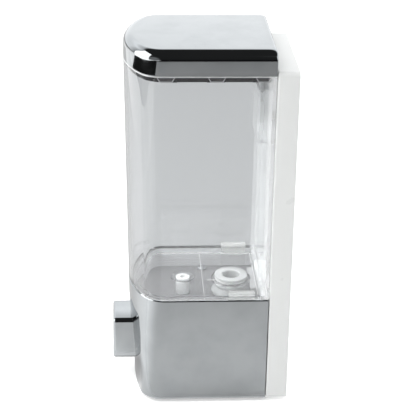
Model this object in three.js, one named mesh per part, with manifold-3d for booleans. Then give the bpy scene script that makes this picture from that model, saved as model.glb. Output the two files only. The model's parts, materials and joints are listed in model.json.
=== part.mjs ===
// Wall mounted soap dispenser: white wall plate, clear tank, chrome lid, chrome pump housing and
// a square push button. Millimetres, +Z up, the wall is the plane y = 0 and the front faces -Y.
// Heights below are measured from the bottom edge; the last group moves the middle of the wall
// face to the origin.
import * as THREE from 'three';
import { mergeVertices } from 'three/addons/utils/BufferGeometryUtils.js';
import Module from 'manifold-3d';

const wasm = await Module();
wasm.setup();

// ---- driving dimensions -------------------------------------------------------------------
const GAP = 0.3;                 // clearance between pieces that touch
const WALL = 2;                  // moulded wall thickness
const MID = 94.5;                // height of the wall face's middle

const PLATE = { w: 71, h: 189, t: 11.2, sheet: 2.2, edge: 1.2, rib: 3 };
const SCREW_Z = [63, 126];       // wall screw bosses, and the ribs that carry them
const BOSS = { side: 16, hole: 2.6, sink: 5.2, sinkDepth: 5 };

const BODY = { half: 35.1, rear: -11.5, bow: 55, corner: 13.5, rearCorner: 1.4 };
const LID = { z0: 187, z1: 200, half: 35.3, rear: -11.5, front: -89, fillet: 5.2, rearFillet: 2 };
const TANK = { z0: 60.9, z1: 186.7, front0: -86.5, front1: -88.9, ledge: 1.2 };
const LIP = { outer: 2.6, inner: 4 };  // the tank's foot, as insets from its outline
const FLOOR = { top: 57.8, t: 2 };
const HOUSING = { z1: 60.6, frontLow: -82, frontHigh: -86.5, wall: 2.2 };
const DECK = { top: 48, t: 2.5 };
const BASE = { z0: 0.4, t: 2.8 };

const BUTTON = { w: 24.9, h: 24.6, z: 25.8, front: -95.3, rear: -77, side: 2.3, face: 1.5 };
const BUTTON_FLANGE = { over: 1.3, t: 1.6 };
const AXIS_Z = BUTTON.z;         // the pump lies behind the button

const CYL = { y0: -64, y1: -21, bore: 9, r: 11 };
const NECK = { y: -29.5, r: 9.1, root: 8.5, hole: 4.8, flange: 10.85, top: 60, tube: 6 };
const OUTLET = { y: -35, r: 5, hole: 2.5 };
const RETAINER = { y: -56.4, head: 6.7, shank: 3.9 };
const ROD = 2.5;
const PISTON = { y0: -56, y1: -50, r: 8.6, groove: 7.2 };
const SPRING = { r: 5.6, wire: 0.6, turns: 7, y0: -92.6, y1: -67.2 };

const HOOK = { w: 20, t: 3.6, lip: 2, reach: 6, rise: 11 };
const HOOK_Z = { tank: 154, housing: 28 };
const LIFT = 9;                  // how far the unit rises before its hooks are free

// ---- materials ----------------------------------------------------------------------------
const finish = (color, metalness, roughness, extra = {}) =>
  new THREE.MeshStandardMaterial({ color, metalness, roughness, ...extra });
const CHROME = finish(0xc9cdd0, 1, 0.08);
const WHITE = finish(0xf0f1f0, 0, 0.28);
const CLEAR = finish(0xeef2f4, 0, 0.05, { transparent: true, opacity: 0.3 });
const GREY = finish(0x8b8d90, 0, 0.5);
const MILKY = finish(0xe9ecec, 0, 0.35);
const DARK = finish(0x55565a, 0, 0.45);
const RUBBER = finish(0xd8dad8, 0, 0.7);
const STEEL = finish(0xa9abad, 1, 0.3);

// ---- solids -------------------------------------------------------------------------------
function solid(geometry) {
  const g = geometry.clone();
  for (const name of ['normal', 'uv']) if (g.getAttribute(name)) g.deleteAttribute(name);
  const merged = mergeVertices(g, 1e-4);
  return new wasm.Manifold(new wasm.Mesh({
    numProp: 3,
    vertProperties: new Float32Array(merged.getAttribute('position').array),
    triVerts: new Uint32Array(merged.index.array),
  }));
}

const join = (first, ...rest) => rest.reduce((a, b) => a.add(b), first);
const cut = (first, ...rest) => rest.reduce((a, b) => a.subtract(b), first);

const group = new THREE.Group();
group.position.z = -MID;

function piece(name, body, material) {
  const mesh = body.getMesh();
  const geometry = new THREE.BufferGeometry();
  geometry.setAttribute('position', new THREE.BufferAttribute(mesh.vertProperties, 3));
  geometry.setIndex(new THREE.BufferAttribute(mesh.triVerts, 1));
  const node = new THREE.Mesh(geometry, material);
  node.name = name;
  group.add(node);
}

function box(x0, x1, y0, y1, z0, z1) {
  const g = new THREE.BoxGeometry(x1 - x0, y1 - y0, z1 - z0);
  return solid(g.translate((x0 + x1) / 2, (y0 + y1) / 2, (z0 + z1) / 2));
}

// A turned piece from [radius, height] points; it stands on +Z, or lies along +Y.
function turned(profile, { x = 0, y = 0, z = 0, alongY = false, sides = 40 } = {}) {
  const g = new THREE.LatheGeometry(profile.map(([r, h]) => new THREE.Vector2(r, h)), sides);
  if (!alongY) g.rotateX(Math.PI / 2);
  return solid(g.translate(x, y, z));
}

const rod = (r, h0, h1, place) => turned([[0, h0], [r, h0], [r, h1], [0, h1]], place);
const ring = (inner, outer, h0, h1, place) =>
  turned([[inner, h0], [outer, h0], [outer, h1], [inner, h1], [inner, h0]], place);

// A closed skin over equal loops of points, with a flat cap at each end. Loops may run either way.
function loft(loops) {
  const n = loops[0].length;
  const centre = (loop) => loop.reduce((a, p) => a.add(p), new THREE.Vector3()).divideScalar(n);
  const points = [...loops.flat(), centre(loops[0]), centre(loops.at(-1))];
  const index = [];
  for (let i = 0; i < n; i++) {
    const j = (i + 1) % n;
    for (let k = 0; k < loops.length - 1; k++) {
      const a = k * n;
      const b = a + n;
      index.push(a + i, a + j, b + j, a + i, b + j, b + i);
    }
    const last = (loops.length - 1) * n;
    index.push(loops.length * n, j, i, loops.length * n + 1, last + i, last + j);
  }
  const across = new THREE.Vector3();
  let volume = 0;
  for (let i = 0; i < index.length; i += 3) {
    const [a, b, c] = index.slice(i, i + 3).map((k) => points[k]);
    volume += across.crossVectors(b, c).dot(a);
  }
  if (volume < 0) index.reverse();
  const g = new THREE.BufferGeometry().setFromPoints(points);
  g.setIndex(index);
  return solid(g);
}

function arc(cx, cy, r, from, to, steps) {
  return Array.from({ length: steps + 1 }, (_, i) => {
    const a = from + ((to - from) * i) / steps;
    return [cx + r * Math.cos(a), cy + r * Math.sin(a)];
  });
}

// The plan of the body at one height: flat back, straight sides, round front corners that run
// into a slightly bowed front. It turns anticlockwise seen from above.
function plan({ half, rear, front, bow, corner, rearCorner = BODY.rearCorner }, z) {
  const bowY = front + bow;
  const cx = half - corner;
  const cy = bowY - Math.sqrt((bow - corner) ** 2 - cx ** 2);
  const swing = Math.atan2(cx, bowY - cy);
  const right = [
    ...arc(cx, cy, corner, -Math.PI / 2 + swing, 0, 9),
    ...arc(half - rearCorner, rear - rearCorner, rearCorner, 0, Math.PI / 2, 3),
  ];
  const left = right.map(([x, y]) => [-x, y]).reverse();
  const nose = arc(0, bowY, bow, -Math.PI / 2 - swing, -Math.PI / 2 + swing, 10).slice(1, -1);
  return [...nose, ...right, ...left].map(([x, y]) => new THREE.Vector3(x, y, z));
}

const smooth = (t) => t * t * (3 - 2 * t);
const clamp01 = (t) => Math.min(1, Math.max(0, t));

// The body's outer plan, pulled in by an inset, at a height of the tank or of the housing.
function tankPlan(z, inset) {
  const t = (z - TANK.z0) / (TANK.z1 - TANK.z0);
  return plan({
    half: BODY.half - inset,
    rear: BODY.rear - inset,
    front: TANK.front0 + (TANK.front1 - TANK.front0) * t + inset,
    bow: BODY.bow - inset,
    corner: BODY.corner - inset,
    rearCorner: Math.max(BODY.rearCorner - inset, 0.4),
  }, z);
}

function housingPlan(z, inset) {
  const t = smooth(clamp01((z - 5) / 47));
  return plan({
    half: BODY.half - 0.1 - inset,
    rear: BODY.rear - inset,
    front: HOUSING.frontLow + (HOUSING.frontHigh - HOUSING.frontLow) * t + inset,
    bow: 110 - 55 * t - inset,
    corner: 12 + 1.5 * t - inset,
    rearCorner: Math.max(BODY.rearCorner - inset, 0.4),
  }, z);
}

const heights = (z0, z1, n) => Array.from({ length: n + 1 }, (_, i) => z0 + ((z1 - z0) * i) / n);
const tankForm = (z0, z1, inset) => loft([tankPlan(z0, inset), tankPlan(z1, inset)]);
const housingForm = (z0, z1, inset, n = 1) =>
  loft(heights(z0, z1, n).map((z) => housingPlan(z, inset)));

// A machine screw on +Z with its head at the bottom, or at the top when it is turned over.
function screw(x, y, head, length, { headR = 2.8, headT = 1.1, over = false } = {}) {
  const s = over ? -1 : 1;
  const profile = [[0, 0], [headR - 0.4, 0], [headR, s * 0.4], [headR, s * headT],
    [1.2, s * headT], [1.2, s * (length - 0.8)], [0.4, s * length], [0, s * length]];
  const slot = [-0.5, 0.5].map((v) => v * 0.9);
  const body = turned(over ? profile.reverse() : profile, { x, y, z: head, sides: 12 });
  const z = [head - s, head + s * 0.6].sort((a, b) => a - b);
  return cut(body,
    box(x - headR * 0.6, x + headR * 0.6, y + slot[0], y + slot[1], z[0], z[1]),
    box(x + slot[0], x + slot[1], y - headR * 0.6, y + headR * 0.6, z[0], z[1]));
}

// ---- wall plate ---------------------------------------------------------------------------
function roundedRect(w, h, r, y, z, steps = 4) {
  const corners = [[1, 1], [-1, 1], [-1, -1], [1, -1]];
  return corners.flatMap(([sx, sz], i) =>
    arc(sx * (w / 2 - r), z + sz * (h / 2 - r), r, (i * Math.PI) / 2, ((i + 1) * Math.PI) / 2, steps)
      .map(([x, v]) => new THREE.Vector3(x, y, v)));
}

// An upturned hook on the front of the plate; its lip stands behind the unit's back wall.
function hook(z) {
  const y = -PLATE.t;
  return join(
    box(-HOOK.w / 2, HOOK.w / 2, y - HOOK.reach, y + 1, z, z + HOOK.t),
    box(-HOOK.w / 2, HOOK.w / 2, y - HOOK.reach, y - HOOK.reach + HOOK.lip, z, z + HOOK.rise));
}

function wallPlate() {
  const { w, h, t, sheet, edge, rib } = PLATE;
  const rim = [0, 0.3, 0.7, 1].map((k) => {
    const inset = edge * (1 - Math.sqrt(1 - k * k));
    return roundedRect(w - 2 * inset, h - 2 * inset, 2.4 - inset, -t + edge * (1 - k), MID);
  });
  const slab = loft([roundedRect(w, h, 2.4, 0, MID), ...rim]);
  const hollow = loft([roundedRect(w - 2 * WALL, h - 2 * WALL, 1, 1, MID),
    roundedRect(w - 2 * WALL, h - 2 * WALL, 1, sheet - t, MID)]);
  const inside = [-w / 2 + 1, w / 2 - 1, -t + 1, 0];
  const half = BOSS.side / 2;
  const ribs = [
    box(-rib / 2, rib / 2, -t + 1, 0, 1, h - 1),
    ...SCREW_Z.map((z) => box(...inside, z - rib / 2, z + rib / 2)),
    ...SCREW_Z.map((z) => box(-half, half, -t + 1, 0, z - half, z + half)),
  ];
  const holes = SCREW_Z.flatMap((z) => [
    rod(BOSS.hole, -t - 1, 1, { z, alongY: true, sides: 24 }),
    rod(BOSS.sink, -t - 1, -t + BOSS.sinkDepth, { z, alongY: true, sides: 32 }),
  ]);
  return cut(join(cut(slab, hollow), ...ribs, hook(HOOK_Z.tank), hook(HOOK_Z.housing)), ...holes);
}

piece('wall_plate', wallPlate(), WHITE);

// ---- tank ---------------------------------------------------------------------------------
const SLOT = { half: HOOK.w / 2 + 1.2, wallY: BODY.rear - WALL };
// Window through a back wall, below the edge that rests on the hook.
const hookWindow = (z, depth) => box(-SLOT.half, SLOT.half, BODY.rear - depth, BODY.rear + 1,
  z - LIFT - 0.5, z + HOOK.t + GAP);

function tank() {
  const ledge = TANK.z0 + TANK.ledge;
  const shell = cut(
    join(tankForm(TANK.z0, TANK.z1, 0), tankForm(FLOOR.top + GAP, ledge, LIP.outer)),
    tankForm(ledge, TANK.z1 + 1, WALL),
    tankForm(FLOOR.top - 1, ledge + 1, LIP.inner),
  );
  const pocket = { y: BODY.rear - HOOK.reach - 1.6, z0: HOOK_Z.tank - LIFT - 0.5, z1: HOOK_Z.tank + 17 };
  const bulge = box(-SLOT.half - 1.6, SLOT.half + 1.6, pocket.y, BODY.rear - 1, pocket.z0 - 1.6,
    pocket.z1 + 1.6);
  const room = box(-SLOT.half, SLOT.half, pocket.y + 1.6, SLOT.wallY, pocket.z0, pocket.z1);
  return cut(join(shell, bulge), room, hookWindow(HOOK_Z.tank, WALL + 2));
}

piece('tank', tank(), CLEAR);

const NECK_HOLE = NECK.flange + 0.05;
piece('tank_floor', cut(
  tankForm(FLOOR.top - FLOOR.t, FLOOR.top, LIP.outer),
  rod(NECK_HOLE, FLOOR.top - 5, FLOOR.top + 5, { y: NECK.y }),
  rod(RETAINER.shank + GAP, FLOOR.top - 5, FLOOR.top + 5, { y: RETAINER.y }),
), CLEAR);

piece('neck_seal', ring(NECK.r + 0.15, NECK_HOLE - 0.25, FLOOR.top - FLOOR.t + 0.1, FLOOR.top - 0.1,
  { y: NECK.y }), RUBBER);

piece('tank_retainer', turned([
  [0, DECK.top - 5], [RETAINER.shank - 0.8, DECK.top - 5], [RETAINER.shank, DECK.top - 3.4],
  [RETAINER.shank, FLOOR.top + GAP], [RETAINER.head, FLOOR.top + GAP],
  [RETAINER.head - 0.3, FLOOR.top + 0.9], [0, FLOOR.top + 0.9],
], { y: RETAINER.y }), MILKY);

const CLIP = [-33, -19];
for (const [name, side] of [['left', -1], ['right', 1]]) {
  const [y0, y1] = CLIP;
  const lip = BODY.half - LIP.inner - GAP;
  const cap = [lip - 2, BODY.half - WALL - GAP].map((v) => v * side).sort((a, b) => a - b);
  const leg = [lip - 2, lip].map((v) => v * side).sort((a, b) => a - b);
  const z0 = TANK.z0 + TANK.ledge + GAP;
  piece(`tank_clip_${name}`, join(
    box(cap[0], cap[1], y0, y1, z0, z0 + 1.6),
    box(leg[0], leg[1], y0, y1, FLOOR.top + GAP, z0 + 1.6),
  ), CLEAR);
}

// ---- pump housing -------------------------------------------------------------------------
const POSTS = [[-1, -22], [1, -22], [-1, -60], [1, -60]].map(([s, y]) => [s * 28.8, y]);
const DECK_POSTS = [[-29, -44], [29, -44]];

// Openings in the front face follow the button with a running gap.
const buttonWindow = loft([-100, -70].map((y) =>
  roundedRect(BUTTON.w + 2 * GAP, BUTTON.h + 2 * GAP, BUTTON.side + GAP, y, BUTTON.z)));

function housing() {
  const shell = cut(housingForm(0, HOUSING.z1, 0, 10), housingForm(-1, HOUSING.z1 + 1, HOUSING.wall, 10));
  const posts = POSTS.map(([x, y]) => rod(4.5, BASE.z0 + BASE.t + GAP, 16, { x, y, sides: 20 }));
  const bores = POSTS.map(([x, y]) => rod(1.5, 0, 13.4, { x, y, sides: 16 }));
  const ledges = DECK_POSTS.map(([x, y]) => {
    const out = Math.sign(x) * (BODY.half - 1);
    const xs = [x - Math.sign(x) * 4, out].sort((a, b) => a - b);
    return box(xs[0], xs[1], y - 4, y + 4, 36, DECK.top - DECK.t - GAP);
  });
  const ledgeBores = DECK_POSTS.map(([x, y]) => rod(1.5, 37.4, 50, { x, y, sides: 16 }));
  return cut(join(shell, ...posts, ...ledges), ...bores, ...ledgeBores, buttonWindow,
    hookWindow(HOOK_Z.housing, HOUSING.wall + 1));
}

piece('housing', housing(), CHROME);

piece('pump_deck', cut(
  housingForm(DECK.top - DECK.t, DECK.top, HOUSING.wall + GAP),
  rod(NECK.tube + 2.6, 30, 60, { y: NECK.y }),
  rod(RETAINER.shank + GAP, 30, 60, { y: RETAINER.y }),
  ...DECK_POSTS.map(([x, y]) => rod(1.6, 30, 60, { x, y, sides: 16 })),
), GREY);

DECK_POSTS.forEach(([x, y], i) => piece(`deck_screw_${i + 1}`,
  screw(x, y, DECK.top + GAP + 1.1, 11, { over: true }), STEEL));

// ---- base with the pump's saddles ---------------------------------------------------------
const SADDLES = [[-60, -56], [-48, -44]];
const EAR = { x: 16, z: AXIS_Z, w: 19 };

function base() {
  const top = BASE.z0 + BASE.t;
  const plate = housingForm(BASE.z0, top, HOUSING.wall + GAP);
  const saddles = SADDLES.map(([y0, y1]) => box(-EAR.w, EAR.w, y0, y1, top - 1, EAR.z));
  const holes = POSTS.flatMap(([x, y]) => [
    rod(1.6, -1, 9, { x, y, sides: 16 }),
    rod(3.1, -1, BASE.z0 + 1.5, { x, y, sides: 24 }),
  ]);
  const bores = SADDLES.flatMap(([y0, y1]) =>
    [-EAR.x, EAR.x].map((x) => rod(1.4, EAR.z - 9, EAR.z + 1, { x, y: (y0 + y1) / 2, sides: 16 })));
  return cut(join(plate, ...saddles), ...holes, ...bores,
    rod(CYL.r + GAP, -70, -40, { z: AXIS_Z, alongY: true }),
    rod(5.6, -1, 9, { y: OUTLET.y }));
}

piece('housing_base', base(), GREY);
POSTS.forEach(([x, y], i) =>
  piece(`base_screw_${i + 1}`, screw(x, y, BASE.z0 + 0.1, 11), STEEL));

SADDLES.forEach(([y0, y1], i) => {
  const name = ['front', 'rear'][i];
  const z0 = EAR.z + GAP;
  const strap = cut(
    join(rod(CYL.r + GAP + 1.8, y0, y1, { z: AXIS_Z, alongY: true }),
      box(-EAR.w, EAR.w, y0, y1, z0, z0 + 2)),
    rod(CYL.r + GAP, y0 - 1, y1 + 1, { z: AXIS_Z, alongY: true }),
    box(-30, 30, y0 - 1, y1 + 1, AXIS_Z - 20, z0),
    ...[-EAR.x, EAR.x].map((x) => rod(1.5, EAR.z - 1, EAR.z + 9, { x, y: (y0 + y1) / 2, sides: 16 })),
  );
  piece(`pump_strap_${name}`, strap, GREY);
  [-EAR.x, EAR.x].forEach((x, k) => piece(`strap_screw_${name}_${k + 1}`,
    screw(x, (y0 + y1) / 2, z0 + 2 + GAP + 1.1, 9.5, { headR: 2.1, over: true }), STEEL));
});

// ---- pump ---------------------------------------------------------------------------------
const SOCKET = { r: 8.3, bore: 6.3, z0: 37.2, z1: 44.8 };

piece('pump_cylinder', cut(
  join(
    rod(CYL.r, CYL.y0, CYL.y1, { z: AXIS_Z, alongY: true }),
    rod(SOCKET.r, AXIS_Z, SOCKET.z1, { y: NECK.y }),
    rod(OUTLET.r, 9.4, AXIS_Z, { y: OUTLET.y }),
  ),
  rod(CYL.bore, CYL.y0 - 1, CYL.y1 - WALL, { z: AXIS_Z, alongY: true }),
  rod(SOCKET.bore, SOCKET.z0, SOCKET.z1 + 1, { y: NECK.y }),
  rod(3, AXIS_Z, SOCKET.z0 + 1, { y: NECK.y }),
  rod(OUTLET.hole, 8, AXIS_Z, { y: OUTLET.y }),
), WHITE);

piece('cylinder_cap', turned([
  [ROD + 0.3, -66.6], [12.4, -66.6], [12.8, -66.2], [12.8, CYL.y0 - GAP],
  [CYL.bore - GAP, CYL.y0 - GAP], [CYL.bore - GAP, -61], [ROD + 0.3, -61], [ROD + 0.3, -66.6],
], { z: AXIS_Z, alongY: true }), WHITE);

// Threaded neck: a stack of rounded ridges on the outside and a plain hole inside.
function neck() {
  const ridges = [0, 1, 2].flatMap((i) => {
    const z = 52.6 + i * 2.2;
    return [[NECK.root, z], [NECK.r, z + 0.5], [NECK.r, z + 0.9], [NECK.root, z + 1.4]];
  });
  return turned([
    [NECK.tube - 1.8, SOCKET.z0 + 1.6], [NECK.tube, SOCKET.z0 + 1.6], [NECK.tube, DECK.top + GAP],
    [NECK.flange, DECK.top + GAP], [NECK.flange, DECK.top + 1.6], [NECK.root + 1, DECK.top + 3],
    [NECK.root, DECK.top + 4], ...ridges, [NECK.root, NECK.top - 0.9], [NECK.r, NECK.top - 0.7],
    [NECK.r, NECK.top - 0.2], [NECK.r - 0.4, NECK.top], [NECK.hole + 0.4, NECK.top],
    [NECK.hole, NECK.top - 0.4], [NECK.hole, DECK.top + 1], [NECK.tube - 1.8, DECK.top - 1],
    [NECK.tube - 1.8, SOCKET.z0 + 1.6],
  ], { y: NECK.y, sides: 32 });
}

piece('inlet_neck', neck(), MILKY);

// Silicone flap: a rim with a centre disc on three short arms.
piece('inlet_valve', join(
  ring(4.6, SOCKET.bore - GAP, SOCKET.z0 + GAP, SOCKET.z0 + 1.3, { y: NECK.y }),
  rod(3.6, SOCKET.z0 + GAP, SOCKET.z0 + 0.9, { y: NECK.y }),
  ...[0, 1, 2].map((i) => {
    const arm = new THREE.BoxGeometry(2.2, 1, 0.6).translate(4.2, 0, SOCKET.z0 + 0.6);
    return solid(arm.rotateZ(Math.PI / 2 + (i * 2 * Math.PI) / 3).translate(0, NECK.y, 0));
  }),
), RUBBER);

piece('nozzle', turned([
  [3.6, 0.6], [5, 0.6], [5.2, 0.9], [5.2, 5.6], [7.2, 6.6], [7.2, 14], [OUTLET.r + GAP, 14],
  [OUTLET.r + GAP, 7.4], [3.6, 7.4], [3.6, 0.6],
], { y: OUTLET.y }), WHITE);

// Duckbill: a flange and a cone that narrows to the closed lips.
piece('outlet_valve', turned([
  [0, 3.2], [1, 3.2], [1.8, 4], [3, 7], [3, 7.7], [OUTLET.r - 0.1, 7.7], [OUTLET.r - 0.1, 8.9],
  [2.4, 8.9], [2.2, 7], [1, 4.4], [0, 4.4],
], { y: OUTLET.y, sides: 28 }), RUBBER);

// ---- button, rod, piston and spring -------------------------------------------------------
function buttonShell(inset, y0, y1, rounded) {
  const { w, h, z, side, face } = BUTTON;
  const outline = (d, y) => roundedRect(w - 2 * d, h - 2 * d, Math.max(side - d, 0.5), y, z, 5);
  const nose = rounded
    ? [1, 0.85, 0.6, 0.3].map((k) => outline(face * (1 - Math.sqrt(1 - k * k)), y0 + face * (1 - k)))
    : [outline(inset, y0)];
  return loft([...nose, outline(inset, y0 + (rounded ? face : 1)), outline(inset, y1)]);
}

function button() {
  const { w, h, z, front, rear, side } = BUTTON;
  const { over, t } = BUTTON_FLANGE;
  const flange = loft([rear, rear - t].map((y) =>
    roundedRect(w + 2 * over, h + 2 * over, side + over, y, z, 5)));
  const hollow = buttonShell(WALL, front + WALL, rear + 1, false);
  return join(
    cut(join(buttonShell(0, front, rear, true), flange), hollow),
    ring(ROD + GAP, 4, front + WALL - 0.5, front + 7, { z: AXIS_Z, alongY: true }),
  );
}

piece('button', button(), CHROME);

piece('push_rod', turned([
  [0, -93], [ROD - 0.3, -93], [ROD, -92.6], [ROD, PISTON.y0 - GAP], [1.5, PISTON.y0 - GAP],
  [1.5, PISTON.y1 - 1], [0, PISTON.y1 - 1],
], { z: AXIS_Z, alongY: true, sides: 28 }), WHITE);

piece('piston', turned([
  [1.8, PISTON.y0], [PISTON.r, PISTON.y0], [PISTON.r, -54], [PISTON.groove, -54],
  [PISTON.groove, -52], [PISTON.r, -52], [PISTON.r, PISTON.y1], [0, PISTON.y1],
  [0, PISTON.y1 - 0.7], [1.8, PISTON.y1 - 0.7], [1.8, PISTON.y0],
], { z: AXIS_Z, alongY: true }), WHITE);

piece('piston_seal', turned(
  arc(8.1, -53, 0.75, 0, 2 * Math.PI, 8),
  { z: AXIS_Z, alongY: true, sides: 32 },
), RUBBER);

class Helix extends THREE.Curve {
  getPoint(t, target = new THREE.Vector3()) {
    const a = 2 * Math.PI * SPRING.turns * t;
    const y = SPRING.y0 + (SPRING.y1 - SPRING.y0) * t;
    return target.set(SPRING.r * Math.cos(a), y, AXIS_Z + SPRING.r * Math.sin(a));
  }
}

const wire = new THREE.Shape().absarc(0, 0, SPRING.wire, 0, 2 * Math.PI);
piece('return_spring', solid(new THREE.ExtrudeGeometry(wire, {
  steps: SPRING.turns * 16, curveSegments: 3, bevelEnabled: false, extrudePath: new Helix(),
})), STEEL);

// ---- lid ----------------------------------------------------------------------------------
const LID_POSTS = [[-20, -28], [20, -28], [-20, -66], [20, -66]];
const INSERT = { half: 32.3, z0: 183.3, z1: 189.2, wall: 1.8, top: 1.8, front: -86 };

// The lid's plan at one height; near the top its back edge and back corners round over as well.
function lidPlan(z, inset) {
  const over = Math.max(0, z - (LID.z1 - LID.rearFillet));
  const back = LID.rearFillet - Math.sqrt(LID.rearFillet ** 2 - over ** 2);
  return plan({
    half: LID.half - inset, rear: LID.rear - back, front: LID.front + inset,
    bow: BODY.bow - inset, corner: BODY.corner - inset, rearCorner: 0.6 + 0.65 * inset,
  }, z);
}

function lid() {
  const round = [0, 0.2, 0.4, 0.6, 0.8, 1].map((k) => {
    const a = (k * Math.PI) / 2;
    return lidPlan(LID.z1 - LID.fillet * (1 - Math.sin(a)), LID.fillet * (1 - Math.cos(a)));
  });
  const inner = [[LID.z0 - 1, WALL], [LID.z1 - LID.fillet - 1, WALL], [LID.z1 - WALL - 1, WALL + 1.4],
    [LID.z1 - WALL, WALL + 3.6]];
  const hollow = loft(inner.map(([z, inset]) => plan({
    half: LID.half - inset, rear: LID.rear - WALL, front: LID.front + inset,
    bow: BODY.bow - inset, corner: BODY.corner - inset, rearCorner: 0.6,
  }, z)));
  const posts = LID_POSTS.map(([x, y]) => rod(3.2, INSERT.z1 + GAP, LID.z1 - 1, { x, y, sides: 20 }));
  const bores = LID_POSTS.map(([x, y]) => rod(1.5, INSERT.z1 - 1, LID.z1 - 4, { x, y, sides: 16 }));
  return cut(join(cut(loft([lidPlan(LID.z0, 0), ...round]), hollow), ...posts), ...bores);
}

piece('lid', lid(), CHROME);

const insertPlan = (z, inset) => plan({
  half: INSERT.half - inset, rear: BODY.rear - WALL - 0.8 - inset, front: INSERT.front + inset,
  bow: 52 - inset, corner: 11 - inset, rearCorner: 0.6,
}, z);
const insertForm = (z0, z1, inset) => loft([insertPlan(z0, inset), insertPlan(z1, inset)]);
// Snap tabs along each side that grip the tank's rim.
const TABS = [[-70, -62], [-47, -38], [-24, -15]];

piece('lid_insert', cut(
  join(insertForm(INSERT.z0, INSERT.z1, 0),
    ...TABS.flatMap(([y0, y1]) => [-1, 1].map((s) => {
      const x = [INSERT.half - 1, INSERT.half + 0.5].map((v) => v * s).sort((a, b) => a - b);
      return box(x[0], x[1], y0, y1, INSERT.z0, INSERT.z0 + 3);
    }))),
  insertForm(INSERT.z0 - 1, INSERT.z1 - INSERT.top, INSERT.wall),
  ...LID_POSTS.map(([x, y]) => rod(1.6, INSERT.z0, INSERT.z1 + 1, { x, y, sides: 16 })),
), DARK);

LID_POSTS.forEach(([x, y], i) => piece(`lid_screw_${i + 1}`,
  screw(x, y, INSERT.z1 - INSERT.top - GAP - 1.1, 7.6), STEEL));

export default group;
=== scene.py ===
"""Wall mounted soap dispenser: chrome lid, clear tank, chrome pump housing, white wall plate.

Metres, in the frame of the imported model: the wall is the plane y = 0, the front faces -Y and
+Z is up. The large visible shells are rebuilt here with fine, smooth skins; the small CAD
pieces keep their shape and get a material.
"""
import json
import math

import bmesh
import bpy
from mathutils import Matrix, Vector
from mathutils.bvhtree import BVHTree


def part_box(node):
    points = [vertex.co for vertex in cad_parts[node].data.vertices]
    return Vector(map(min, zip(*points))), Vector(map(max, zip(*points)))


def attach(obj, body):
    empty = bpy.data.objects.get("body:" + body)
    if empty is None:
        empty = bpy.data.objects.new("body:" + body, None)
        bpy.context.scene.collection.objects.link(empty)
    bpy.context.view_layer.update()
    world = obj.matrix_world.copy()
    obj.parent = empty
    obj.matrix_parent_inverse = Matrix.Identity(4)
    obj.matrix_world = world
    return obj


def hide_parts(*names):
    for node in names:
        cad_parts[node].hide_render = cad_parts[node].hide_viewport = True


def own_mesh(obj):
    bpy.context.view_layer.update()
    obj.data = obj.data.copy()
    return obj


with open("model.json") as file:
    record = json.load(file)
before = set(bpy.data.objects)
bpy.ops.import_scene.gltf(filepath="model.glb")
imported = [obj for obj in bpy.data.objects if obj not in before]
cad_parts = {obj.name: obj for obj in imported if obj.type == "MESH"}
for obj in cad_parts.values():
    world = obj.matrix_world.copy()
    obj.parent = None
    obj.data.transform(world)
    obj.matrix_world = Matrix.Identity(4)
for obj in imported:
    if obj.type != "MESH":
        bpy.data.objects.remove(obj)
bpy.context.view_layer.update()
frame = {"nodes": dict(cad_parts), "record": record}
nodes = frame["nodes"]

MM = 0.001
GAP = 0.3 * MM
WALL = 2 * MM
TIGHTEST = 0.4 * MM                        # least radius of an outline's corner
SCREW_BORE = 1.5 * MM                      # radius of the blind holes that screws bite into
SHARP_EDGE = 32                            # edges sharper than this many degrees stay creased

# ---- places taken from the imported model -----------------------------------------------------
LID_LO, LID_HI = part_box("lid")
TANK_LO, TANK_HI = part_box("tank")
HOUSING_LO, HOUSING_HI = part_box("housing")
PLATE_LO, PLATE_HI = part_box("wall_plate")
BUTTON_LO, BUTTON_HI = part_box("button")
SPRING_LO, SPRING_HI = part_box("return_spring")
FLOOR_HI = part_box("tank_floor")[1]
INSERT_LO, INSERT_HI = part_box("lid_insert")
BASE_Z = HOUSING_LO.z                      # underside of the unit
REAR_Y = TANK_HI.y                         # back of the unit


# ---- materials --------------------------------------------------------------------------------
def material(name, colour, **sockets):
    """A Principled material; returns the material, its node tree and its shader."""
    mat = bpy.data.materials.new(name)
    mat.use_nodes = True
    tree = mat.node_tree
    shader = tree.nodes["Principled BSDF"]
    shader.inputs["Base Color"].default_value = (*colour, 1)
    for key, value in sockets.items():
        shader.inputs[key.replace("_", " ")].default_value = value
    return mat, tree, shader


def noise(tree, scale, detail=3.0, stretch=(1, 1, 1)):
    coords = tree.nodes.new("ShaderNodeTexCoord")
    mapping = tree.nodes.new("ShaderNodeMapping")
    mapping.inputs["Scale"].default_value = stretch
    texture = tree.nodes.new("ShaderNodeTexNoise")
    texture.inputs["Scale"].default_value = scale
    texture.inputs["Detail"].default_value = detail
    tree.links.new(coords.outputs["Object"], mapping.inputs["Vector"])
    tree.links.new(mapping.outputs["Vector"], texture.inputs["Vector"])
    return texture.outputs["Fac"]


def object_axes(tree):
    """The X, Y and Z of a point in object coordinates."""
    coords, split = tree.nodes.new("ShaderNodeTexCoord"), tree.nodes.new("ShaderNodeSeparateXYZ")
    tree.links.new(coords.outputs["Object"], split.inputs[0])
    return split.outputs


def ranged(tree, value, low, high, out_low, out_high):
    """Maps value from low..high to out_low..out_high and holds it at both ends."""
    node = tree.nodes.new("ShaderNodeMapRange")
    for key, number in zip(("From Min", "From Max", "To Min", "To Max"),
                           (low, high, out_low, out_high)):
        node.inputs[key].default_value = number
    tree.links.new(value, node.inputs["Value"])
    return node.outputs["Result"]


def math_node(tree, operation, a, b):
    node = tree.nodes.new("ShaderNodeMath")
    node.operation = operation
    tree.links.new(a, node.inputs[0])
    tree.links.new(b, node.inputs[1])
    return node.outputs[0]


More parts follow.
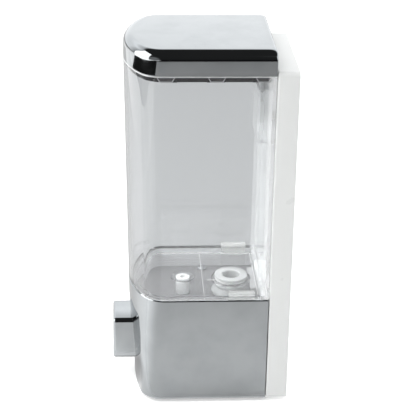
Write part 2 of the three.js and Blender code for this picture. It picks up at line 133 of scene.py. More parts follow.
def tint(tree, value, dark, light):
    ramp = tree.nodes.new("ShaderNodeMix")
    ramp.data_type = "RGBA"
    ramp.inputs[6].default_value = (*dark, 1)
    ramp.inputs[7].default_value = (*light, 1)
    tree.links.new(value, ramp.inputs["Factor"])
    return ramp.outputs[2]


def bump(tree, shader, height, strength, distance=0.0002):
    node = tree.nodes.new("ShaderNodeBump")
    node.inputs["Strength"].default_value = strength
    node.inputs["Distance"].default_value = distance
    tree.links.new(height, node.inputs["Height"])
    tree.links.new(node.outputs["Normal"], shader.inputs["Normal"])


def chrome(name, light, dark):
    """Mirror plating: faint smears, a little waviness of the moulding under it."""
    mat, tree, shader = material(name, light, Metallic=1.0, Roughness=0.05)
    smear = ranged(tree, noise(tree, 55, 4), 0.42, 0.68, 0, 1)
    tree.links.new(tint(tree, smear, light, dark), shader.inputs["Base Color"])
    tree.links.new(ranged(tree, noise(tree, 90, 5), 0.3, 0.7, 0.03, 0.07),
                   shader.inputs["Roughness"])
    bump(tree, shader, noise(tree, 28, 2), 0.12, 0.0003)
    return mat


def white_plastic():
    mat, tree, shader = material("white_moulding", (0.57, 0.58, 0.575), Roughness=0.3)
    tree.links.new(ranged(tree, noise(tree, 60, 4), 0.3, 0.7, 0.26, 0.36),
                   shader.inputs["Roughness"])
    bump(tree, shader, noise(tree, 1400, 2), 0.06, 0.00005)
    return mat


def clear_plastic():
    """Clear moulding. The rim's top shows as a white line, a painted highlight along the rim; the
    back and hook pocket are partly hazy moulding and partly painted light.
    """
    mat, tree, shader = material("clear_moulding", (0.975, 0.985, 0.99), Roughness=0.02, IOR=1.47)
    axes = object_axes(tree)
    rim, back, pocket = TANK_HI.z - 0.4 * MM, REAR_Y - 4 * MM, REAR_Y - 8 * MM
    pocket_half = 13 * MM
    across = tree.nodes.new("ShaderNodeMath")
    across.operation = "ABSOLUTE"
    tree.links.new(axes["X"], across.inputs[0])
    # The top of the rim lets little light through and shows white: a painted highlight along the rim.
    edge = ranged(tree, axes["Z"], rim - 0.05 * MM, rim, 1, 0.3)
    # Partly a hazy moulding, partly painted light: the haze whitens the back and the hook pocket,
    # which get too little light through the wall.
    back_haze_and_painted_light = ranged(tree, axes["Y"], back - 0.6 * MM, back + 0.4 * MM, 1, 0.83)
    behind = ranged(tree, axes["Y"], pocket - 0.2 * MM, pocket, 0, 1)
    inside = ranged(tree, across.outputs[0], pocket_half, pocket_half + 0.2 * MM, 1, 0)
    hook_haze_and_painted_light = ranged(tree, math_node(tree, "MULTIPLY", behind, inside), 0, 1, 1, 0.8)
    clear = math_node(tree, "MULTIPLY", math_node(tree, "MULTIPLY", edge, back_haze_and_painted_light), hook_haze_and_painted_light)
    tree.links.new(clear, shader.inputs["Transmission Weight"])
    bump(tree, shader, noise(tree, 22, 2, (1, 1, 0.35)), 0.05, 0.0004)
    return mat


def satin(name, dark, light, gloss=0.5):
    mat, tree, shader = material(name, light, Roughness=0.45, Specular_IOR_Level=gloss)
    tree.links.new(tint(tree, noise(tree, 40, 4), dark, light), shader.inputs["Base Color"])
    bump(tree, shader, noise(tree, 900, 2), 0.1, 0.00005)
    return mat


def milky(name, colour):
    mat, tree, shader = material(name, colour, Roughness=0.25, IOR=1.47)
    shader.inputs["Transmission Weight"].default_value = 0.12
    shader.inputs["Subsurface Weight"].default_value = 0.4
    shader.inputs["Subsurface Radius"].default_value = (0.004, 0.004, 0.004)
    shader.inputs["Subsurface Scale"].default_value = 1.0
    bump(tree, shader, noise(tree, 500, 3), 0.08, 0.0001)
    return mat


def silicone(name="silicone", clear=0.0):
    mat, tree, shader = material(name, (0.84, 0.85, 0.84), Roughness=0.45 - 0.3 * clear, IOR=1.41)
    shader.inputs["Transmission Weight"].default_value = clear
    bump(tree, shader, noise(tree, 700, 3), 0.15, 0.0001)
    return mat


def steel():
    mat, tree, shader = material("turned_steel", (0.62, 0.63, 0.64), Metallic=1.0, Roughness=0.3)
    tree.links.new(ranged(tree, noise(tree, 300, 3, (1, 1, 8)), 0.3, 0.7, 0.22, 0.4),
                   shader.inputs["Roughness"])
    return mat


FINISHES = {
    "chrome_plating": chrome("chrome_plating", (0.345, 0.36, 0.368), (0.31, 0.325, 0.333)),
    "white_plastic": white_plastic(),
    "clear_plastic": clear_plastic(),
    "grey_plastic": satin("satin_grey", (0.3, 0.295, 0.305), (0.36, 0.355, 0.365)),
    # Dark plastic made darker still: the insert's near black is partly painted shade, the shade under
    # the lid.
    "dark_plastic": satin("satin_dark_painted_shade", (0.006, 0.006, 0.0065), (0.012, 0.012, 0.013), 0.12),
    "milky_plastic": milky("milky_plastic", (0.9, 0.91, 0.91)),
    "silicone": silicone(),
    "screw_steel": steel(),
}


# ---- mesh helpers -------------------------------------------------------------------------------
def arc(cx, cy, r, start, end, steps):
    return [(cx + r * math.cos(start + (end - start) * i / steps),
             cy + r * math.sin(start + (end - start) * i / steps)) for i in range(steps + 1)]


def plan(z, half, rear, front, bow, corner, rear_corner):
    """The body's outline at one height: flat back, round front corners, bowed front."""
    bow_y = front + bow
    cx = half - corner
    cy = bow_y - math.sqrt((bow - corner) ** 2 - cx ** 2)
    swing = math.atan2(cx, bow_y - cy)
    right = (arc(cx, cy, corner, swing - math.pi / 2, 0, 24)
             + arc(half - rear_corner, rear - rear_corner, rear_corner, 0, math.pi / 2, 6))
    left = [(-x, y) for x, y in reversed(right)]
    nose = arc(0, bow_y, bow, -math.pi / 2 - swing, -math.pi / 2 + swing, 26)[1:-1]
    return [Vector((x, y, z)) for x, y in nose + right + left]


def rounded_rect(w, h, r, y, z, steps=8):
    """A rounded rectangle that stands upright, square to Y."""
    points = []
    for i, (sx, sz) in enumerate(((1, 1), (-1, 1), (-1, -1), (1, -1))):
        points += arc(sx * (w / 2 - r), z + sz * (h / 2 - r), r, i * math.pi / 2,
                      (i + 1) * math.pi / 2, steps)
    return [Vector((x, y, v)) for x, v in points]


def add_object(name, data):
    obj = bpy.data.objects.new(name, data)
    bpy.context.scene.collection.objects.link(obj)
    return obj


def smooth_by_angle(obj):
    mesh = obj.data
    mesh.shade_smooth()
    mesh.set_sharp_from_angle(angle=math.radians(SHARP_EDGE))
    return obj


def from_loops(name, loops, closed=False):
    """A skin over equal loops of points: a tube that closes on itself, or one with two caps."""
    bm = bmesh.new()
    rings = [[bm.verts.new(p) for p in loop] for loop in loops]
    n = len(loops[0])
    pairs = list(zip(rings, rings[1:])) + ([(rings[-1], rings[0])] if closed else [])
    for a, b in pairs:
        for i in range(n):
            j = (i + 1) % n
            bm.faces.new((a[i], a[j], b[j], b[i]))
    if not closed:
        bm.faces.new(list(reversed(rings[0])))
        bm.faces.new(rings[-1])
    bmesh.ops.recalc_face_normals(bm, faces=bm.faces)
    mesh = bpy.data.meshes.new(name)
    bm.to_mesh(mesh)
    bm.free()
    return smooth_by_angle(add_object(name, mesh))


def block(name, lo, hi):
    """A plain box, for cutting and joining."""
    ring = [(lo[0], lo[1]), (hi[0], lo[1]), (hi[0], hi[1]), (lo[0], hi[1])]
    return from_loops(name, [[Vector((x, y, z)) for x, y in ring] for z in (lo[2], hi[2])])


def post(name, x, y, r, z0, z1, steps=28):
    """A cylinder that stands on Z, for joining and cutting."""
    ring = arc(x, y, r, 0, 2 * math.pi, steps)[:-1]
    return from_loops(name, [[Vector((a, b, z)) for a, b in ring] for z in (z0, z1)])


def drum(name, r, y0, y1, z, steps=40):
    """A cylinder along Y, for joining and cutting."""
    ring = arc(0, z, r, 0, 2 * math.pi, steps)[:-1]
    return from_loops(name, [[Vector((x, y, v)) for x, v in ring] for y in (y0, y1)])


def carve(obj, *steps):
    """Joins and cuts obj with other solids, then puts back the smooth shading of its own skin."""
    skin = BVHTree.FromPolygons([v.co for v in obj.data.vertices],
                                [tuple(p.vertices) for p in obj.data.polygons])
    old = obj.data
    for operation, tool in steps:
        modifier = obj.modifiers.new("carve", "BOOLEAN")
        modifier.operation = operation
        modifier.object = tool
        modifier.solver = "EXACT"
    graph = bpy.context.evaluated_depsgraph_get()
    mesh = bpy.data.meshes.new_from_object(obj.evaluated_get(graph))
    obj.modifiers.clear()
    obj.data = mesh
    for _, tool in steps:
        bpy.data.objects.remove(tool)
    smooth_by_angle(obj)
    shading = [skin_normal(mesh, loop, polygon, skin, old)
               for polygon in mesh.polygons for loop in polygon.loop_indices]
    mesh.normals_split_custom_set(shading)
    return obj


def skin_normal(mesh, loop, polygon, skin, old):
    """The uncut skin's smooth normal at a corner that lies on it; otherwise the face's own."""
    point = mesh.vertices[mesh.loops[loop].vertex_index].co
    inward = point.lerp(polygon.center, 0.02)
    on_skin, same_way = 0.05 * MM, 0.9
    _, normal, index, distance = skin.find_nearest(inward)
    if distance > on_skin or normal.dot(polygon.normal) < same_way:
        return mesh.corner_normals[loop].vector.copy()
    near = old.polygons[index]
    total = Vector()
    for k in near.loop_indices:
        vertex = old.vertices[old.loops[k].vertex_index].co
        total += old.corner_normals[k].vector / max((vertex - point).length, 1e-6) ** 2
    return total.normalized()


def finish(obj, slot, body, *cad_nodes):
    """Gives a new piece its material, its CAD body and the nodes it stands for."""
    obj.data.materials.clear()
    obj.data.materials.append(FINISHES[slot])
    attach(obj, body)
    if cad_nodes:
        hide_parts(*cad_nodes)
    return obj


# ---- the body's outline at each height ----------------------------------------------------------
BOW, CORNER, REAR_CORNER = 55 * MM, 13.5 * MM, 0.5 * MM
TANK_FRONT = (-86.5 * MM, TANK_LO.y)       # at the tank's foot and at its rim
TANK_FOOT = HOUSING_HI.z + GAP
# The housing's front: its place at the underside, the height where it starts to swell out, and
# over what height it does. The inside follows the CAD housing; low down, the skin stands further
# forward than it.
HOUSING_SKIN = (-83.2 * MM, 0, 60 * MM)
HOUSING_INSIDE = (-82 * MM, 5 * MM, 47 * MM)


def tank_plan(z, inset):
    t = (z - TANK_FOOT) / (TANK_HI.z - TANK_FOOT)
    front = TANK_FRONT[0] * (1 - t) + TANK_FRONT[1] * t
    return plan(z, TANK_HI.x - inset, REAR_Y - inset, front + inset, BOW - inset, CORNER - inset,
                max(REAR_CORNER - inset, TIGHTEST))


def housing_plan(z, inset, profile=HOUSING_SKIN):
    foot, start, height = profile
    t = min(1, max(0, (z - BASE_Z - start) / height))
    t = t * t * (3 - 2 * t)
    front = foot * (1 - t) + HOUSING_LO.y * t
    bow, corner = (110 - 55 * t) * MM, (12 + 1.5 * t) * MM
    return plan(z, HOUSING_HI.x - inset, REAR_Y - inset, front + inset, bow - inset,
                corner - inset, max(REAR_CORNER - inset, TIGHTEST))


def levels(low, high, count):
    return [low + (high - low) * i / count for i in range(count + 1)]


# ---- lid ------------------------------------------------------------------------------------------
LID_FILLET, LID_REAR_FILLET = 5.2 * MM, 2 * MM


def lid_plan(z, inset):
    """Outline of the lid; near the top its back edge and back corners also round over."""
    over = max(0, z - (LID_HI.z - LID_REAR_FILLET))
    back = LID_REAR_FILLET - math.sqrt(max(0, LID_REAR_FILLET ** 2 - over ** 2))
    return plan(z, LID_HI.x - inset, LID_HI.y - back, LID_LO.y + inset, BOW - inset,
                CORNER - inset, 0.6 * MM + 0.65 * inset)


def make_lid():
    edge = 0.35 * MM
    inner = [(LID_HI.z - WALL, 5.6 * MM), (LID_HI.z - WALL - 1 * MM, 3.4 * MM),
             (LID_HI.z - LID_FILLET - 1 * MM, WALL), (LID_LO.z, WALL)]
    loops = [[Vector((p.x, min(p.y, LID_HI.y - WALL), z)) for p in
              plan(z, LID_HI.x - inset, LID_HI.y, LID_LO.y + inset, BOW - inset, CORNER - inset,
                   0.6 * MM)] for z, inset in inner]
    loops += [lid_plan(LID_LO.z, edge), lid_plan(LID_LO.z + edge, 0)]
    for i in range(17):
        a = i / 16 * math.pi / 2
        loops.append(lid_plan(LID_HI.z - LID_FILLET * (1 - math.sin(a)),
                              LID_FILLET * (1 - math.cos(a))))
    places = [(x * MM, y * MM) for x in (-20, 20) for y in (-28, -66)]
    post_r, foot, top = 3.2 * MM, INSERT_HI.z, LID_HI.z
    posts = [("UNION", post("post", *at, post_r, foot + GAP, top - 1 * MM)) for at in places]
    bores = [("DIFFERENCE", post("bore", *at, SCREW_BORE, foot - 1 * MM, top - 4 * MM))
             for at in places]
    return carve(from_loops("lid_shell", loops), *posts, *bores)


finish(make_lid(), "chrome_plating", "lid", "lid")


def joined(name, pieces):
    with bpy.context.temp_override(active_object=pieces[0], object=pieces[0],
                                   selected_objects=pieces, selected_editable_objects=pieces):
        bpy.ops.object.join()
    pieces[0].name = name
    return pieces[0]


def make_tabs(name, rim, proud):
    """The faces of the insert's snap tabs, narrower towards the bottom."""
    low, high, slope = INSERT_LO.z + 0.1 * MM + rim, LID_LO.z - 0.6 * MM, 1.6 * MM
    depth = (INSERT_HI.x - 0.6 * MM, INSERT_HI.x + proud)
    pieces = []
    for side in (-1, 1):
        for y0, y1 in ((-72.5 * MM, -62.7 * MM), (-46.9 * MM, -37.1 * MM), (-22.8 * MM, -14 * MM)):
            loop = [(y0 + slope + rim, low), (y1 - slope - rim, low), (y1 - rim, high),
                    (y0 + rim, high)]
            pieces.append(from_loops("tab", [[Vector((side * x, y, z)) for y, z in loop]
                                             for x in depth]))
    return joined(name, pieces)


# The tabs belong to the near-black insert; their grey edges and less dark faces are painted highlights
# on the tabs.
finish(make_tabs("insert_tab_edges", 0, 0.08 * MM), "grey_plastic", "lid")
tab_faces = finish(make_tabs("insert_tab_faces", 0.45 * MM, 0.15 * MM), "dark_plastic", "lid")
tab_faces.data.materials[0] = satin("satin_tab_highlight", (0.025, 0.025, 0.026), (0.04, 0.04, 0.042),
                                    0.2)


# ---- tank -----------------------------------------------------------------------------------------
LEDGE = 1.2 * MM
LIP_OUTER, LIP_INNER = 2.6 * MM, 4 * MM
HOOK_HALF = 11.2 * MM
POCKET_Y = REAR_Y - 7.6 * MM
POCKET_Z = (TANK_HI.z - 42.2 * MM, TANK_HI.z - 15.7 * MM)
WINDOW_TOP = TANK_HI.z - 28.8 * MM


def make_tank():
    soft = 0.5 * MM
    outer = [tank_plan(TANK_LO.z, LIP_OUTER), tank_plan(TANK_FOOT, LIP_OUTER),
             tank_plan(TANK_FOOT, soft), tank_plan(TANK_FOOT + soft, 0)]
    outer += [tank_plan(z, 0) for z in levels(TANK_FOOT + soft, TANK_HI.z - soft, 12)[1:]]
    inner = [tank_plan(TANK_HI.z, soft), tank_plan(TANK_HI.z, WALL - soft)]
    inner += [tank_plan(z, WALL) for z in levels(TANK_HI.z - soft, TANK_FOOT + LEDGE + soft, 12)]
    inner += [tank_plan(TANK_FOOT + LEDGE, WALL + soft), tank_plan(TANK_FOOT + LEDGE, LIP_INNER),
              tank_plan(TANK_LO.z, LIP_INNER)]
    tank = from_loops("tank_shell", outer + inner, closed=True)
    wall = 1.6 * MM
    bulge = block("bulge", (-HOOK_HALF - wall, POCKET_Y, POCKET_Z[0] - wall),
                  (HOOK_HALF + wall, REAR_Y - 1 * MM, POCKET_Z[1] + wall))
    room = block("room", (-HOOK_HALF, POCKET_Y + wall, POCKET_Z[0]),
                 (HOOK_HALF, REAR_Y - WALL, POCKET_Z[1]))
    window = block("window", (-HOOK_HALF, REAR_Y - WALL - 2 * MM, POCKET_Z[0]),
                   (HOOK_HALF, REAR_Y + 1 * MM, WINDOW_TOP))
    return carve(tank, ("UNION", bulge), ("DIFFERENCE", room), ("DIFFERENCE", window))


finish(make_tank(), "clear_plastic", "unit", "tank").visible_shadow = False


def make_floor_seams():
    """Raised mould lines on the tank floor: two across it and a short one from front to back."""
    top = FLOOR_HI.z + 0.25 * MM
    base = FLOOR_HI.z + 0.02 * MM
    half = FLOOR_HI.x - 2.2 * MM
    lines = [((-half, -45.75 * MM), (half, -45.45 * MM)),
             ((-half, -16.6 * MM), (half, -16.2 * MM)),
             ((3.2 * MM, -43 * MM), (3.5 * MM, -38.6 * MM))]
    return joined("tank_floor_seams", [block("seam", (*lo, base), (*hi, top)) for lo, hi in lines])


finish(make_floor_seams(), "milky_plastic", "unit")


def turned(name, x, y, profile, steps=48):
    """A solid turned about a line that stands on Z, from (radius, height) pairs, bottom first."""
    return from_loops(name, [[Vector((a, b, z)) for a, b in
                              arc(x, y, r, 0, 2 * math.pi, steps)[:-1]] for r, z in profile])


def make_retainer():
    """A clear head with a raised rim over the tank floor, and the white shank under it."""
    lo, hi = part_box("tank_retainer")
    x, y, r = (lo.x + hi.x) / 2, (lo.y + hi.y) / 2, (hi.x - lo.x) / 2
    shank, seat = 3.9 * MM, FLOOR_HI.z + GAP
    eye, dish = shank + 0.05 * MM, hi.z - 0.3 * MM
    head = turned("retainer_head", x, y, [
        (eye, seat), (r - 0.3 * MM, seat), (r, seat + 0.2 * MM), (r, hi.z - 0.15 * MM),
        (r - 0.15 * MM, hi.z), (r - 0.75 * MM, hi.z), (r - 0.9 * MM, dish), (eye, dish)])
    stem = turned("retainer_shank", x, y, [
        (shank - 0.8 * MM, lo.z), (shank, lo.z + 1.6 * MM), (shank, hi.z - 0.2 * MM),
        (shank - 0.2 * MM, hi.z), (1.6 * MM, hi.z), (1.3 * MM, hi.z - 1.5 * MM)])
    return head, stem


retainer_head, retainer_shank = make_retainer()
finish(retainer_head, "milky_plastic", "unit", "tank_retainer")
retainer_head.data.materials[0] = FINISHES["clear_plastic"]
retainer_head.visible_shadow = False
finish(retainer_shank, "milky_plastic", "unit")

# ---- housing --------------------------------------------------------------------------------------
FLANGE = 1.3 * MM                          # how far the button's flange stands out all round
WINDOW = (BUTTON_HI.x - BUTTON_LO.x - 2 * FLANGE, BUTTON_HI.z - BUTTON_LO.z - 2 * FLANGE)
BUTTON_Z = (BUTTON_LO.z + BUTTON_HI.z) / 2
BUTTON_SIDE = 2.3 * MM


def make_housing():
    shell, soft = 2.2 * MM, 0.5 * MM
    loops = [housing_plan(BASE_Z, shell, HOUSING_INSIDE), housing_plan(BASE_Z, soft),
             housing_plan(BASE_Z + soft, 0)]
    loops += [housing_plan(z, 0) for z in levels(BASE_Z + soft, HOUSING_HI.z - soft, 24)[1:]]
    loops.append(housing_plan(HOUSING_HI.z, soft))
    loops += [housing_plan(z, shell, HOUSING_INSIDE)
              for z in levels(HOUSING_HI.z, BASE_Z, 24)[:-1]]
    housing = from_loops("housing_shell", loops, closed=True)
    opening = from_loops("opening", [
        rounded_rect(WINDOW[0] + 2 * GAP, WINDOW[1] + 2 * GAP, BUTTON_SIDE + GAP, y, BUTTON_Z)
        for y in (-100 * MM, -70 * MM)])
    hook = block("hook", (-HOOK_HALF, REAR_Y - 4 * MM, BASE_Z + 18.5 * MM),
                 (HOOK_HALF, REAR_Y + 1 * MM, BASE_Z + 31.9 * MM))
    screws = [(x * MM, y * MM) for x in (-28.8, 28.8) for y in (-22, -60)]
    deck = HOUSING_HI.z - 15.4 * MM        # top of the two ledges
    steps = [("UNION", post("post", *at, 4.5 * MM, BASE_Z + 3.5 * MM, BASE_Z + 16 * MM))
             for at in screws]
    for side in (-1, 1):
        left, right = sorted((25 * side * MM, 34.1 * side * MM))
        steps.append(("UNION", block("ledge", (left, -48 * MM, BASE_Z + 36 * MM),
                                     (right, -40 * MM, deck))))
    steps += [("DIFFERENCE", post("bore", *at, SCREW_BORE, BASE_Z, BASE_Z + 13.4 * MM))
              for at in screws]
    steps += [("DIFFERENCE", post("bore", x * MM, -44 * MM, SCREW_BORE, BASE_Z + 37.4 * MM,
                                  deck + 1 * MM)) for x in (-29, 29)]
    return carve(housing, *steps, ("DIFFERENCE", opening), ("DIFFERENCE", hook))


housing = finish(make_housing(), "chrome_plating", "unit", "housing")
housing.data.materials.append(satin("satin_inside", (0.78, 0.78, 0.79), (0.86, 0.86, 0.87)))
for polygon in housing.data.polygons:      # faces that look inwards aren't plated
    out = polygon.center - Vector((0, -45 * MM, polygon.center.z))
    polygon.material_index = int(polygon.normal.dot(out) < -1e-4)


# ---- button ---------------------------------------------------------------------------------------
def make_button():
    """A cup with rounded edges, a flange at its open end and a boss for the rod."""
    w, h = WINDOW
    front, rear, face = BUTTON_LO.y, BUTTON_HI.y, 1.5 * MM

    def outline(y, inset):
        radius = max(BUTTON_SIDE - inset, TIGHTEST)
        return rounded_rect(w - 2 * inset, h - 2 * inset, radius, y, BUTTON_Z)

    loops = [outline(front + WALL, WALL + 0.3 * MM), outline(front + WALL + 0.3 * MM, WALL),
             outline(rear, WALL), outline(rear, -FLANGE), outline(rear - 1.6 * MM, -FLANGE),
             outline(rear - 1.6 * MM, 0)]
    loops += [outline(front + face * (1 - math.sin(a)), face * (1 - math.cos(a)))
              for a in (i / 10 * math.pi / 2 for i in range(11))]
    inner = front + WALL
    boss = drum("boss", 4 * MM, inner - 0.5 * MM, front + 7 * MM, BUTTON_Z, 32)
    socket = drum("socket", 2.8 * MM, inner, front + 8 * MM, BUTTON_Z, 32)
    return carve(from_loops("button_cap", loops), ("UNION", boss), ("DIFFERENCE", socket))


finish(make_button(), "chrome_plating", "button", "button")


# ---- wall plate -----------------------------------------------------------------------------------
def make_plate():
    """The front shell of the plate; its ribs, hooks and screw bosses are joined to it."""
    w, h = PLATE_HI.x - PLATE_LO.x, PLATE_HI.z - PLATE_LO.z
    mid = (PLATE_LO.z + PLATE_HI.z) / 2
    front, sheet, edge, rib = -11.2 * MM, 2.2 * MM, 0.7 * MM, 3 * MM

    def outline(y, inset, r=2.4 * MM):
        return rounded_rect(w - 2 * inset, h - 2 * inset, r, y, mid)

    loops = [outline(front + sheet, WALL, 1 * MM), outline(0, WALL, 1 * MM), outline(0, 0)]
    loops += [outline(front + edge * (1 - math.sin(a)), edge * (1 - math.cos(a)),
                      2.4 * MM - edge * (1 - math.cos(a)))
              for a in (i / 8 * math.pi / 2 for i in range(9))]
    plate = from_loops("plate_shell", loops)
    inside = w / 2 - 1 * MM
    back, tip, boss, hook = front + 1 * MM, front - 6 * MM, 8 * MM, 10 * MM
    steps = [("UNION", block("rib", (-rib / 2, back, PLATE_LO.z + 1 * MM),
                             (rib / 2, 0, PLATE_HI.z - 1 * MM)))]
    for z in (-31.5 * MM, 31.5 * MM):
        steps += [
            ("UNION", block("rib", (-inside, back, z - rib / 2), (inside, 0, z + rib / 2))),
            ("UNION", block("boss", (-boss, back, z - boss), (boss, 0, z + boss))),
            ("DIFFERENCE", drum("hole", 2.6 * MM, -20 * MM, 5 * MM, z)),
            ("DIFFERENCE", drum("sink", 5.2 * MM, -20 * MM, front + 5 * MM, z)),
        ]
    for z in (BASE_Z + 154 * MM, BASE_Z + 28 * MM):
        steps += [
            ("UNION", block("hook", (-hook, tip, z), (hook, back, z + 3.6 * MM))),
            ("UNION", block("lip", (-hook, tip, z), (hook, front - 4 * MM, z + 11 * MM))),
        ]
    return carve(plate, *steps)


finish(make_plate(), "white_plastic", "wall_plate", "wall_plate")


# ---- return spring --------------------------------------------------------------------------------
def make_spring():
    """A coil along Y at one even pitch, without closed end turns, drawn at its rest length; it is
    not made to shorten towards the cylinder cap.
    """
    wire, turns, around, along = 0.6 * MM, 7, 10, 40
    mid = (SPRING_LO + SPRING_HI) / 2
    r = (SPRING_HI.x - SPRING_LO.x) / 2 - wire
    y0, y1 = SPRING_LO.y + wire, SPRING_HI.y - wire
    loops = []
    for i in range(turns * along + 1):
        t = i / (turns * along)
        a = 2 * math.pi * turns * t
        out = Vector((math.cos(a), 0, math.sin(a)))
        centre = Vector((mid.x, y0 + (y1 - y0) * t, mid.z)) + out * r
        loops.append([centre + wire * (out * math.cos(b) + Vector((0, math.sin(b), 0)))
                      for b in (2 * math.pi * k / around for k in range(around))])
    spring = from_loops("spring_coil", loops)
    finish(spring, "screw_steel", "unit", "return_spring")
    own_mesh(spring)


make_spring()


# ---- pieces kept from the CAD model -----------------------------------------------------------------
def smooth_nodes():
    """Geometry nodes that weld a CAD node's skin and shade it smooth up to its sharp edges."""
    tree = bpy.data.node_groups.new("smooth_skin", "GeometryNodeTree")
    tree.interface.new_socket("Geometry", in_out="INPUT", socket_type="NodeSocketGeometry")
    tree.interface.new_socket("Geometry", in_out="OUTPUT", socket_type="NodeSocketGeometry")
    add, link = tree.nodes.new, tree.links.new
    start, end = add("NodeGroupInput"), add("NodeGroupOutput")
    weld, angle = add("GeometryNodeMergeByDistance"), add("GeometryNodeInputMeshEdgeAngle")
    sharp = add("FunctionNodeCompare")
    faces, edges = add("GeometryNodeSetShadeSmooth"), add("GeometryNodeSetShadeSmooth")
    weld.inputs["Distance"].default_value = 1e-6
    sharp.operation = "GREATER_THAN"
    sharp.inputs["B"].default_value = math.radians(SHARP_EDGE)
    faces.inputs["Shade Smooth"].default_value = True
    edges.domain = "EDGE"
    edges.inputs["Shade Smooth"].default_value = False
    link(start.outputs[0], weld.inputs["Geometry"])
    link(weld.outputs[0], faces.inputs["Geometry"])
    link(faces.outputs[0], edges.inputs["Geometry"])
    link(angle.outputs["Unsigned Angle"], sharp.inputs["A"])
    link(sharp.outputs[0], edges.inputs["Selection"])
    link(edges.outputs[0], end.inputs[0])
    return tree


SMOOTH = smooth_nodes()
CLIP = silicone("clear_clip", 0.75)
SPECIAL = {
    "inlet_neck": milky("milky_neck", (0.62, 0.63, 0.63)),
    "neck_seal": silicone("clear_silicone", 0.97),
    "tank_clip_left": CLIP,
    "tank_clip_right": CLIP,
}
NO_SHADOW = ("neck_seal", "tank_floor", "tank_clip_left", "tank_clip_right")
SLOT_OF = {s["node"]: s["material_slot"] for s in frame["record"]["subparts"]}
for name, node in nodes.items():
    if node.hide_render:
        continue
    node.data.materials.clear()
    node.data.materials.append(SPECIAL.get(name, FINISHES[SLOT_OF[name]]))
    node.modifiers.new("smooth_skin", "NODES").node_group = SMOOTH
    if name in NO_SHADOW:
        node.visible_shadow = False


# ---- floor, light and camera --------------------------------------------------------------------
REACH = 6                                  # how far the floor and the larger cards go, in metres


def glow(shader, strength, level=1.0):
    shader.inputs["Emission Color"].default_value = (level, level, level, 1)
    shader.inputs["Emission Strength"].default_value = strength


def seen_only_by(obj, rays):
    for ray in ("camera", "diffuse", "glossy", "transmission", "shadow"):
        setattr(obj, "visible_" + ray, ray in rays)


def floor_plane(name, z, colour, seen_by, emission=0.0):
    mesh = bpy.data.meshes.new(name)
    corners = [(-REACH, -REACH, z), (REACH, -REACH, z), (REACH, REACH, z), (-REACH, REACH, z)]
    mesh.from_pydata(corners, [], [(0, 1, 2, 3)])
    plane = add_object(name, mesh)
    mat, _, shader = material(name, colour, Roughness=0.9, Specular_IOR_Level=0.0)
    glow(shader, emission)
    mesh.materials.append(mat)
    seen_only_by(plane, seen_by)


def make_floor():
    """A white floor, and a light grey one that only rays through the clear tank see, so that the
    tank shows up."""
    floor_plane("studio_floor", BASE_Z - 2 * MM, (0.92, 0.92, 0.92),
                ("camera", "diffuse", "glossy", "shadow"), 0.33)
    floor_plane("studio_sweep", BASE_Z - 1 * MM, (0.395, 0.4, 0.405), ("transmission",))


def backdrop(name, profile, level, seen_by):
    """A round cyclorama that glows evenly, from (radius, height) pairs."""
    steps = 96
    rings = [[(r * math.cos(a), r * math.sin(a), BASE_Z + h) for a in
              (2 * math.pi * k / steps for k in range(steps))] for r, h in profile]
    faces = [(i * steps + k, i * steps + (k + 1) % steps, (i + 1) * steps + (k + 1) % steps,
              (i + 1) * steps + k) for i in range(len(rings) - 1) for k in range(steps)]
    mesh = bpy.data.meshes.new(name)
    mesh.from_pydata(sum(rings, []), [], faces)
    mesh.shade_smooth()
    wall = add_object(name, mesh)
    mat, _, shader = material(name, (0, 0, 0), Roughness=1.0, Specular_IOR_Level=0.0)
    glow(shader, 1.0, level)
    mesh.materials.append(mat)
    seen_only_by(wall, seen_by)


def softbox(name, place, target, size, power, in_mirrors=True):
    data = bpy.data.lights.new(name, "AREA")
    data.shape = "RECTANGLE"
    data.size, data.size_y = size
    data.energy = power
    light = add_object(name, data)
    light.location = place
    light.rotation_euler = (Vector(target) - Vector(place)).to_track_quat("-Z", "Y").to_euler()
    light.visible_camera = False
    light.visible_glossy = in_mirrors


def studio_world():
    """What mirrors see beyond the cards: a band of light low down, dim towards the front right.
    Matt surfaces get no light from it, and the backdrops stand before it for the camera and for
    rays through the tank."""
    world = bpy.data.worlds.new("studio")
    bpy.context.scene.world = world
    world.use_nodes = True
    world.cycles_visibility.diffuse = False
    tree = world.node_tree
    add, link = tree.nodes.new, tree.links.new
    background = tree.nodes["Background"]
    coords, split = add("ShaderNodeTexCoord"), add("ShaderNodeSeparateXYZ")
    link(coords.outputs["Generated"], split.inputs[0])

    def towards(degrees, low, high, level):
        """Rises from 0 to level as the view turns towards a bearing; low and high are cosines."""
        node = add("ShaderNodeVectorMath")
        node.operation = "DOT_PRODUCT"
        bearing = math.radians(degrees)
        node.inputs[1].default_value = (math.cos(bearing), math.sin(bearing), 0)
        link(coords.outputs["Generated"], node.inputs[0])
        return ranged(tree, node.outputs["Value"], low, high, 0, level)

    band = ranged(tree, split.outputs["Z"], 0.48, 0.72, 1, 0)
    sides = math_node(tree, "ADD", towards(134, -0.39, 0.02, 1), towards(-38, 0.86, 0.93, 0.2))
    rise = ranged(tree, split.outputs["Z"], 0.37, 0.45, 1, 1.17)
    level = ranged(tree, math_node(tree, "MULTIPLY", band, sides), 0, 1, 0.03, 1.65)
    link(math_node(tree, "MULTIPLY", level, rise), background.inputs["Strength"])
    background.inputs["Color"].default_value = (0.97, 0.985, 1, 1)


